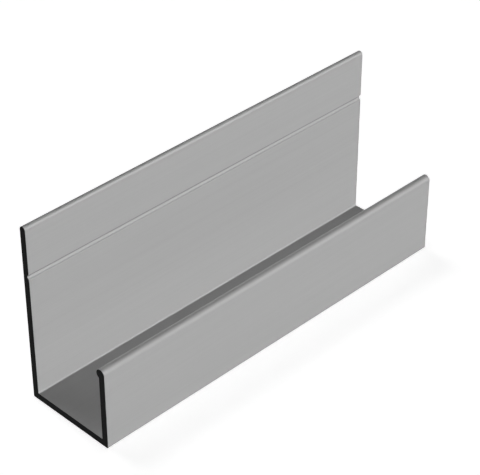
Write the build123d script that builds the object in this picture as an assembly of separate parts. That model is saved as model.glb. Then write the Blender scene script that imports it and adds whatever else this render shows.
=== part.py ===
from build123d import *

import math
import os

# Aluminium J-channel profile: a short cut length of one-piece extruded stock, standing on its web.
# The section lies in the YZ plane and runs along X. A flat web carries a tall back flange and a
# shorter front leg. The flange's free edge is a full round. The leg's free edge is a round bead
# that stands proud into the channel. A round drill line runs along the flange's inner face.
# Origin: middle of the web's underside. +X runs along the length, +Y points out of the back
# flange's flat back, +Z is up. All lengths are in millimetres and all angles in degrees.

# Driving dimensions
LENGTH = 100.0  # cut length
CHANNEL_WIDTH = 20.4  # clear width between the front leg and the back flange
WALL = 1.6  # thickness of the web, the flange and the leg
BACK_HEIGHT = 44.1  # web's underside to the flange's rounded top
FRONT_HEIGHT = 20.1  # web's underside to the top of the bead
BEAD_STAND = 0.7  # how far the bead stands into the channel past the leg's inner face
GROOVE_DROP = 12.1  # flange's top down to the middle of the drill line
GROOVE_WIDTH = 1.2  # mouth of the drill line before its lips are rounded
GROOVE_DEPTH = 0.45  # how far the drill line cuts into the flange
GROOVE_LIP_RADIUS = 0.1  # rounding of the drill line's two lips
OUTER_RADIUS = 0.25  # rounding of the web's two outside edges
INNER_RADIUS = 0.3  # fillet in the channel's two inside corners and under the bead

# Places across the section, worked out from the sizes above
front_outer = -(CHANNEL_WIDTH / 2 + WALL)
front_inner = front_outer + WALL
back_inner = front_inner + CHANNEL_WIDTH
back_outer = back_inner + WALL

# The bead is a circle tangent to the leg's outer face
bead_radius = (WALL + BEAD_STAND) / 2
bead_y = front_outer + bead_radius
bead_z = FRONT_HEIGHT - bead_radius
bead_foot_angle = -math.degrees(math.acos((front_inner - bead_y) / bead_radius))
bead_foot_z = bead_z + bead_radius * math.sin(math.radians(bead_foot_angle))

# The flange ends in a half circle as wide as its wall
crown_radius = WALL / 2
crown_y = back_outer - crown_radius
crown_z = BACK_HEIGHT - crown_radius

# The drill line is an arc cut from the flange's inner face
groove_z = BACK_HEIGHT - GROOVE_DROP

# Corners of the outline, each as (y, z)
web_front_edge = (front_outer, 0)
web_back_edge = (back_outer, 0)
bead_foot = (front_inner, bead_foot_z)
front_corner = (front_inner, WALL)
back_corner = (back_inner, WALL)
groove_lower_lip = (back_inner, groove_z - GROOVE_WIDTH / 2)
groove_root = (back_inner + GROOVE_DEPTH, groove_z)
groove_upper_lip = (back_inner, groove_z + GROOVE_WIDTH / 2)


def sharp_outline():
    """The section's closed outline with its corners still sharp, as a face."""
    bead = CenterArc((bead_y, bead_z), bead_radius, bead_foot_angle, 180 - bead_foot_angle)
    crown = CenterArc((crown_y, crown_z), crown_radius, 0, 180)
    inside = Polyline(bead_foot, front_corner, back_corner, groove_lower_lip)
    groove = ThreePointArc(groove_lower_lip, groove_root, groove_upper_lip)
    above_groove = Line(groove_upper_lip, (back_inner, crown_z))
    outside = Polyline(
        (back_outer, crown_z),
        web_back_edge,
        web_front_edge,
        (front_outer, bead_z),
    )
    return make_face([bead, inside, groove, above_groove, crown, outside])


def round_corners(face, corners, radius):
    """The face with the vertex nearest to each of the corners rounded."""
    vertices = [face.vertices().sort_by_distance(corner)[0] for corner in corners]
    return fillet(vertices, radius)


def section():
    """The finished section of the extrusion, in its own (y, z) plane."""
    face = sharp_outline()
    face = round_corners(face, [web_front_edge, web_back_edge], OUTER_RADIUS)
    face = round_corners(face, [bead_foot, front_corner, back_corner], INNER_RADIUS)
    return round_corners(face, [groove_lower_lip, groove_upper_lip], GROOVE_LIP_RADIUS)


def j_channel():
    """The profile itself: the section drawn out to both sides of the origin."""
    return extrude(Plane.YZ * section(), LENGTH / 2, both=True)


os.makedirs("parts", exist_ok=True)
export_step(j_channel(), "parts/j_channel.step")
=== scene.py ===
import math
from collections import namedtuple

import bpy
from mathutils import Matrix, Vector


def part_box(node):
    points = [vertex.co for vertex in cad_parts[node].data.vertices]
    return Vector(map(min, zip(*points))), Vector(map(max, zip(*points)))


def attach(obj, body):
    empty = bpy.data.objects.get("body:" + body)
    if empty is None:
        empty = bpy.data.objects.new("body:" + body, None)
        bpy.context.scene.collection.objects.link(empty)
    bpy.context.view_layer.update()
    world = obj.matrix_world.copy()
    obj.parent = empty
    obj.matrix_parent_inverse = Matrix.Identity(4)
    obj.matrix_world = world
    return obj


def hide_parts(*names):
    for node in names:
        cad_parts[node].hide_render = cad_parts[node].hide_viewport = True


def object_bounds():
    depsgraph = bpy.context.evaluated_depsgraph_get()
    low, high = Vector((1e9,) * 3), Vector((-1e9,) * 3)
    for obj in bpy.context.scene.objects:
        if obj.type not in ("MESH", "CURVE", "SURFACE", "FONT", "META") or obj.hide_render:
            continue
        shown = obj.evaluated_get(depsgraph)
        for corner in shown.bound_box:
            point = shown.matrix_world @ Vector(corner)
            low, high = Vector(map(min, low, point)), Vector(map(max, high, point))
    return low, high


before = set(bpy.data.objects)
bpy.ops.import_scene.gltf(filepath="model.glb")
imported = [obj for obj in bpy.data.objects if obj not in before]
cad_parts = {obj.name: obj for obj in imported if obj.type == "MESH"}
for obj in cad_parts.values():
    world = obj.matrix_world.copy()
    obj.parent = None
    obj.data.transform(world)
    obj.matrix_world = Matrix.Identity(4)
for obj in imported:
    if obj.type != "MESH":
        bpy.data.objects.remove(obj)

cad_low, cad_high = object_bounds()

# Aluminium J-channel profile in a plain studio. The visible piece is one mesh with the section that
# the frame's solid has, finely rounded, in a satin mill finish with sawn ends painted dark as shade
# and painted shade and highlights along three lines. All lengths are in metres and all angles in degrees.

# Section: the outside sizes come from the frame, the others are named here
NODE = "j_channel"
BODY = "root"
WALL = 0.0016  # thickness of the web, the flange and the leg
FRONT_HEIGHT = 0.0201  # web's underside to the top of the bead
BEAD_STAND = 0.0007  # how far the bead stands into the channel past the leg's inner face
GROOVE_DROP = 0.0121  # flange's top down to the middle of the drill line
GROOVE_WIDTH = 0.0012  # mouth of the drill line before its lips are rounded
GROOVE_DEPTH = 0.00045  # how far the drill line cuts into the flange
GROOVE_LIP_RADIUS = 0.0001  # rounding of the drill line's two lips
OUTER_RADIUS = 0.00025  # rounding of the web's two outside edges
INNER_RADIUS = 0.0003  # fillet in the channel's two inside corners and under the bead
ARRIS = 0.00003  # how far the edges round the sawn ends are broken
RIM = 0.00008  # how far the sawn finish, painted dark as shade, reaches along the sides from both ends

# Mesh
Point = namedtuple("Point", "y z normal")  # a point of the section's outline
ARC_STEP = 6.0  # turn between two points of a round stretch
LENGTH_STEPS = 20  # spans along the length

# Satin finish: a pair holds the lowest and the highest value
SATIN_TONE = (0.380, 0.392)
SATIN_DRIFT = (-0.004, 0.004)  # added to the tone by the broad lines
SATIN_ROUGHNESS = (0.52, 0.60)
SATIN_RELIEF = 0.000002  # height of the fine lines
SATIN_METALLIC = 0.04
FINE_LINES = {"scale": 2800, "stretch": 160, "detail": 2}  # about 0.4 mm across
BROAD_LINES = {"scale": 420, "stretch": 60, "detail": 1}  # about 2.4 mm across
LINE_GRAIN = 0.6  # weight of the finer detail in both kinds of line

# Painted shade under the drill line's upper lip, painted highlights on its flank and the back corner
LIP_PAINTED_SHADE_SHARE = 0.55
FLANK_PAINTED_HIGHLIGHT_SHARE = 1.07
CORNER_PAINTED_HIGHLIGHT_SHARE = 1.07
LINE_REACH = 0.00035  # how far each of them fades out

# Sawn finish: its dark tone is painted shade, its roughness and saw marks are real
SAWN_PAINTED_SHADE_TONE = (0.028, 0.037)
SAWN_ROUGHNESS = (0.75, 0.85)
SAWN_RELIEF = 0.000004  # height of the saw marks
SAWN_SPECULAR = 0.03
BLADE_Y = -0.06  # middle of the round blade, in front of the section
BLADE_Z = -0.09  # middle of the round blade, below the web
SAW_MARK_SCALE = 900  # sets the arcs about a third of a millimetre apart
SAW_MARK_WAVER = 3  # how far the arcs stray from true circles

# Middle part of a texture's grey, which is spread over a pair of values
GREY_LOW = 0.3
GREY_HIGH = 0.7

# Camera: it looks at the middle of the box from the left, the front and above in equal parts
CAMERA_DIRECTION = Vector((-1, -1, 1)).normalized()
CAMERA_DISTANCE = 0.39205  # from that middle
CAMERA_NEAR_SHARE = 0.01  # nothing nearer than this share of the distance is drawn
CAMERA_LENS = 135.35  # millimetres, for the sensor width below
CAMERA_SENSOR = 36.0  # millimetres

# Light: directions point from the object to the lamp
KEY_DIRECTION = Vector((0.50, -0.85, 0.075))
KEY_STRENGTH = 2.90
KEY_SPREAD = 2.0
SHEEN_DIRECTION = Vector((0.50, -0.72, 0.48))
SHEEN_STRENGTH = 12.0
SHEEN_SPREAD = 40.0
FILL_DIRECTION = Vector((0.0, 0.50, 0.85))
FILL_STRENGTH = 0.64
FILL_SPREAD = 20.0
BACK_DIRECTION = Vector((0.0, 1.0, 0.0))
BACK_STRENGTH = 1.65
BACK_SPREAD = 2.0
WORLD_STRENGTH = 0.12
WHITE = (1, 1, 1, 1)

# Floor
FLOOR_SIZE = 6.0
FLOOR_GAP = 0.00002  # keeps the floor clear of the web's underside
FLOOR_SHADE = 0.80
FLOOR_GLOW = 0.72  # makes the floor show white with the shadow in it, and casts no light


def rounded(centre, radius, start, end):
    """Points of an arc. A clockwise arc is a hollow one, so its normals point to its centre."""
    steps = math.ceil(abs(end - start) / ARC_STEP)
    side = math.copysign(1, end - start)
    points = []
    for step in range(steps + 1):
        angle = math.radians(start + (end - start) * step / steps)
        across, up = math.cos(angle), math.sin(angle)
        normal = side * Vector((0, across, up))
        points.append(Point(centre[0] + radius * across, centre[1] + radius * up, normal))
    return points


def drill_line(face_y, middle_z):
    """The round groove along the flange's inner face, from its upper lip down to its lower one."""
    radius = ((GROOVE_WIDTH / 2) ** 2 + GROOVE_DEPTH ** 2) / (2 * GROOVE_DEPTH)
    centre_y = face_y + GROOVE_DEPTH - radius
    lip_y = face_y + GROOVE_LIP_RADIUS
    across = lip_y - centre_y
    rise = math.sqrt((radius + GROOVE_LIP_RADIUS) ** 2 - across ** 2)
    turn = math.degrees(math.atan2(rise, across))
    upper = rounded((lip_y, middle_z + rise), GROOVE_LIP_RADIUS, 180, 180 + turn)
    hollow = rounded((centre_y, middle_z), radius, turn, -turn)
    lower = rounded((lip_y, middle_z - rise), GROOVE_LIP_RADIUS, 180 - turn, 180)
    return upper + hollow[1:-1] + lower


def bead(outer_y, top_z):
    """The round bead on the leg's free edge, with the fillet under it, from inside to outside."""
    radius = (WALL + BEAD_STAND) / 2
    centre_y = outer_y + radius
    centre_z = top_z - radius
    hollow_y = outer_y + WALL + INNER_RADIUS
    across = hollow_y - centre_y
    down = math.sqrt((radius + INNER_RADIUS) ** 2 - across ** 2)
    meeting = math.degrees(math.atan2(-down, across))
    foot = rounded((hollow_y, centre_z - down), INNER_RADIUS, 180, meeting + 180)
    return foot[:-1] + rounded((centre_y, centre_z), radius, meeting, 180)


def section():
    """The closed outline of the section, anticlockwise seen from +X."""
    low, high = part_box(NODE)
    inner_front = low.y + WALL
    inner_back = high.y - WALL
    crown = WALL / 2
    corner_z = low.z + WALL + INNER_RADIUS
    points = rounded((low.y + OUTER_RADIUS, low.z + OUTER_RADIUS), OUTER_RADIUS, 180, 270)
    points += rounded((high.y - OUTER_RADIUS, low.z + OUTER_RADIUS), OUTER_RADIUS, 270, 360)
    points += rounded((high.y - crown, high.z - crown), crown, 0, 180)
    points += drill_line(inner_back, high.z - GROOVE_DROP)
    points += rounded((inner_back - INNER_RADIUS, corner_z), INNER_RADIUS, 360, 270)
    points += rounded((inner_front + INNER_RADIUS, corner_z), INNER_RADIUS, 270, 180)
    points += bead(low.y, low.z + FRONT_HEIGHT)
    return points


def ring(outline, x, inset):
    """One ring of the mesh at x, drawn in from the outline by the inset."""
    return [Vector((x, point.y, point.z)) - inset * point.normal for point in outline]


def rings(outline):
    """The points of the mesh, ring after ring along the length, and their normals."""
    low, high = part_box(NODE)
    start, end = low.x + RIM, high.x - RIM
    spans = [start + (end - start) * step / LENGTH_STEPS for step in range(LENGTH_STEPS + 1)]
    points = ring(outline, low.x, ARRIS)
    normals = [Vector((-1, 0, 0))] * len(outline)
    for x in [low.x + ARRIS, *spans, high.x - ARRIS]:
        points += ring(outline, x, 0)
        normals += [point.normal for point in outline]
    points += ring(outline, high.x, ARRIS)
    normals += [Vector((1, 0, 0))] * len(outline)
    return points, normals


def lane(count, near):
    """The faces between two neighbouring rings of count points; the first ring starts at point near."""
    far = near + count
    faces = []
    for here in range(count):
        there = (here + 1) % count
        faces.append((near + here, near + there, far + there, far + here))
    return faces


def profile():
    """The extruded piece: lanes along the length, broken edges round both ends and two sawn faces."""
    low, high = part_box(NODE)
    outline = section()
    points, normals = rings(outline)
    count = len(outline)
    last = len(points) - count
    faces = []
    for near in range(0, last, count):
        faces += lane(count, near)
    faces.append(tuple(reversed(range(count))))
    faces.append(tuple(range(last, len(points))))

    mesh = bpy.data.meshes.new("profile")
    mesh.from_pydata(points, [], faces)
    mesh.shade_smooth()
    mesh.normals_split_custom_set_from_vertices(normals)
    mesh.materials.append(satin_aluminium())
    mesh.materials.append(sawn_aluminium_painted_shade())
    sawn = mesh.materials.find("sawn_aluminium_painted_shade")
    # the ends and a narrow rim get the sawn finish, painted dark as shade
    for face in mesh.polygons:
        if not low.x + RIM < face.center.x < high.x - RIM:
            face.material_index = sawn
    piece = bpy.data.objects.new("profile", mesh)
    bpy.context.scene.collection.objects.link(piece)
    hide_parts(NODE)
    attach(piece, BODY)


def new_material(name):
    """A material with a Principled shader, its node tree and that shader."""
    material = bpy.data.materials.new(name)
    material.use_nodes = True
    shader = material.node_tree.nodes["Principled BSDF"]
    return material, material.node_tree, shader


def add(tree, kind, **values):
    """A node with its settings and its unlinked input values; a name with spaces uses underscores."""
    node = tree.nodes.new(kind)
    for name, value in values.items():
        title = name.replace("_", " ")
        if title in node.inputs:
            node.inputs[title].default_value = value
        else:
            setattr(node, name, value)
    return node


def streaks(tree, scale, stretch, detail):
    """Noise drawn out along the length: the grey value of lines that run with the extrusion."""
    place = add(tree, "ShaderNodeTexCoord")
    squeeze = add(tree, "ShaderNodeMapping", Scale=(1 / stretch, 1, 1))
    noise = add(tree, "ShaderNodeTexNoise", Scale=scale, Detail=detail, Roughness=LINE_GRAIN)
    tree.links.new(place.outputs["Object"], squeeze.inputs["Vector"])
    tree.links.new(squeeze.outputs["Vector"], noise.inputs["Vector"])
    return noise.outputs["Fac"]


def ranged(tree, grey, low, high):
    """The grey value with its middle part spread from low to high."""
    node = add(tree, "ShaderNodeMapRange", From_Min=GREY_LOW, From_Max=GREY_HIGH, To_Min=low, To_Max=high)
    tree.links.new(grey, node.inputs["Value"])
    return node.outputs["Result"]


def relief(tree, grey, height):
    """The normal of a surface that the grey value raises by up to the height."""
    bump = add(tree, "ShaderNodeBump", Distance=height)
    tree.links.new(grey, bump.inputs["Height"])
    return bump.outputs["Normal"]


def painted_light_lines():
    """The lines along the length with painted shade or a painted highlight, each as (y, z, share of the
    tone).
    """
    low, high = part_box(NODE)
    inner_back = high.y - WALL
    root = inner_back + GROOVE_DEPTH
    middle = high.z - GROOVE_DROP
    return [
        (root, middle + GROOVE_DEPTH / 2, LIP_PAINTED_SHADE_SHARE),
        (inner_back + GROOVE_DEPTH / 2, middle - GROOVE_DEPTH, FLANK_PAINTED_HIGHLIGHT_SHARE),
        (inner_back, low.z + WALL + INNER_RADIUS, CORNER_PAINTED_HIGHLIGHT_SHARE),
    ]


def painted_light_along_line(tree, y, z, share):
    """A share of the tone along a line that runs with the length, fading to 1: painted shade or
    highlight.
    """
    place = add(tree, "ShaderNodeTexCoord")
    away = add(tree, "ShaderNodeMapping", Location=(0, -y, -z), Scale=(0, 1, 1))
    gap = add(tree, "ShaderNodeVectorMath", operation="LENGTH")
    tone = add(tree, "ShaderNodeMapRange", From_Max=LINE_REACH, To_Min=share, To_Max=1)
    tree.links.new(place.outputs["Object"], away.inputs["Vector"])
    tree.links.new(away.outputs["Vector"], gap.inputs[0])
    tree.links.new(gap.outputs["Value"], tone.inputs["Value"])
    return tone.outputs["Result"]


def combined(tree, operation, first, second):
    """Two grey values added or multiplied."""
    node = add(tree, "ShaderNodeMath", operation=operation)
    tree.links.new(first, node.inputs[0])
    tree.links.new(second, node.inputs[1])
    return node.outputs["Value"]


def satin_aluminium():
    """Satin mill finish: die lines along the length show in tone, roughness and relief; painted light
    lines too.
    """
    material, tree, shader = new_material("satin_aluminium")
    fine = streaks(tree, **FINE_LINES)
    broad = streaks(tree, **BROAD_LINES)
    tone = combined(tree, "ADD", ranged(tree, fine, *SATIN_TONE), ranged(tree, broad, *SATIN_DRIFT))
    # painted shade under the drill line's lip, painted highlights on its lower flank and in the back
    # corner
    for y, z, share in painted_light_lines():
        tone = combined(tree, "MULTIPLY", tone, painted_light_along_line(tree, y, z, share))
    tree.links.new(tone, shader.inputs["Base Color"])
    tree.links.new(ranged(tree, broad, *SATIN_ROUGHNESS), shader.inputs["Roughness"])
    tree.links.new(relief(tree, fine, SATIN_RELIEF), shader.inputs["Normal"])
    shader.inputs["Metallic"].default_value = SATIN_METALLIC
    shader.inputs["Specular IOR Level"].default_value = 0
    return material


def saw_arcs(tree):
    """Rings about the middle of a round blade: the grey value of the arcs that it leaves on an end."""
    place = add(tree, "ShaderNodeTexCoord")
    away = add(tree, "ShaderNodeMapping", Location=(0, -BLADE_Y, -BLADE_Z))
    arcs = add(tree, "ShaderNodeTexWave", wave_type="RINGS", rings_direction="X")
    arcs.inputs["Scale"].default_value = SAW_MARK_SCALE
    arcs.inputs["Distortion"].default_value = SAW_MARK_WAVER
    tree.links.new(place.outputs["Object"], away.inputs["Vector"])
    tree.links.new(away.outputs["Vector"], arcs.inputs["Vector"])
    return arcs.outputs["Fac"]


def sawn_aluminium_painted_shade():
    """Sawn end: painted dark as shade, dull, with the arcs of the blade."""
    material, tree, shader = new_material("sawn_aluminium_painted_shade")
    arcs = saw_arcs(tree)
    tree.links.new(ranged(tree, arcs, *SAWN_PAINTED_SHADE_TONE), shader.inputs["Base Color"])
    tree.links.new(ranged(tree, arcs, *SAWN_ROUGHNESS), shader.inputs["Roughness"])
    tree.links.new(relief(tree, arcs, SAWN_RELIEF), shader.inputs["Normal"])
    shader.inputs["Specular IOR Level"].default_value = SAWN_SPECULAR
    return material


def seen_rays(tree):
    """1 for rays from the camera, off a gloss or through glass, and 0 for rays that carry light."""
    path = add(tree, "ShaderNodeLightPath")
    first = add(tree, "ShaderNodeMath", operation="ADD")
    total = add(tree, "ShaderNodeMath", operation="ADD", use_clamp=True)
    tree.links.new(path.outputs["Is Camera Ray"], first.inputs[0])
    tree.links.new(path.outputs["Is Glossy Ray"], first.inputs[1])
    tree.links.new(first.outputs["Value"], total.inputs[0])
    tree.links.new(path.outputs["Is Transmission Ray"], total.inputs[1])
    return total.outputs["Value"]


def white_world():
    """A soft even sky, which shows as plain white."""
    world = bpy.data.worlds.new("studio")
    world.use_nodes = True
    tree = world.node_tree
    strength = add(tree, "ShaderNodeMapRange", To_Min=WORLD_STRENGTH, To_Max=1)
    tree.links.new(seen_rays(tree), strength.inputs["Value"])
    sky = tree.nodes["Background"]
    sky.inputs["Color"].default_value = WHITE
    tree.links.new(strength.outputs["Result"], sky.inputs["Strength"])
    bpy.context.scene.world = world


def floor_finish():
    """Pale and dull, with a glow that shows but casts no light."""
    material, tree, shader = new_material("pale_floor")
    shader.inputs["Base Color"].default_value = (FLOOR_SHADE, FLOOR_SHADE, FLOOR_SHADE, 1)
    shader.inputs["Roughness"].default_value = 1
    shader.inputs["Specular IOR Level"].default_value = 0
    shader.inputs["Emission Color"].default_value = WHITE
    glow = add(tree, "ShaderNodeMapRange", To_Min=0, To_Max=FLOOR_GLOW)
    tree.links.new(seen_rays(tree), glow.inputs["Value"])
    tree.links.new(glow.outputs["Result"], shader.inputs["Emission Strength"])
    return material


def pale_floor():
    """A wide pale floor that shows white around the object and keeps its soft shadow."""
    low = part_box(NODE)[0]
    half = FLOOR_SIZE / 2
    height = low.z - FLOOR_GAP
    corners = [(-half, -half, height), (half, -half, height), (half, half, height), (-half, half, height)]
    mesh = bpy.data.meshes.new("floor")
    mesh.from_pydata(corners, [], [(0, 1, 2, 3)])
    mesh.materials.append(floor_finish())
    floor = bpy.data.objects.new("floor", mesh)
    bpy.context.scene.collection.objects.link(floor)


def sun(name, direction, strength, spread):
    """A distant lamp that shines on the object from a direction."""
    lamp = bpy.data.lights.new(name, "SUN")
    lamp.energy = strength
    lamp.angle = math.radians(spread)
    holder = bpy.data.objects.new(name, lamp)
    holder.rotation_mode = "QUATERNION"
    holder.rotation_quaternion = direction.to_track_quat("Z", "Y")
    bpy.context.scene.collection.objects.link(holder)
    return holder


def studio_light():
    """A key with no shadow, a soft sheen on the roundings, a fill from above and a lamp at the back."""
    key = sun("key", KEY_DIRECTION, KEY_STRENGTH, KEY_SPREAD)
    key.data.use_shadow = False
    key.visible_glossy = False
    sheen = sun("sheen", SHEEN_DIRECTION, SHEEN_STRENGTH, SHEEN_SPREAD)
    sheen.data.use_shadow = False
    sheen.visible_diffuse = False
    sun("fill", FILL_DIRECTION, FILL_STRENGTH, FILL_SPREAD)
    back = sun("back", BACK_DIRECTION, BACK_STRENGTH, BACK_SPREAD)
    back.data.use_shadow = False


def camera():
    """The camera at the reference view."""
    lens = bpy.data.cameras.new("camera")
    lens.lens = CAMERA_LENS
    lens.sensor_width = CAMERA_SENSOR
    lens.clip_start = CAMERA_DISTANCE * CAMERA_NEAR_SHARE
    holder = bpy.data.objects.new("camera", lens)
    holder.location = (cad_low + cad_high) / 2 + CAMERA_DIRECTION * CAMERA_DISTANCE
    holder.rotation_mode = "QUATERNION"
    holder.rotation_quaternion = CAMERA_DIRECTION.to_track_quat("Z", "Y")
    bpy.context.scene.collection.objects.link(holder)
    bpy.context.scene.camera = holder


profile()
white_world()
pale_floor()
studio_light()
camera()
bpy.context.scene.view_settings.view_transform = "Standard"
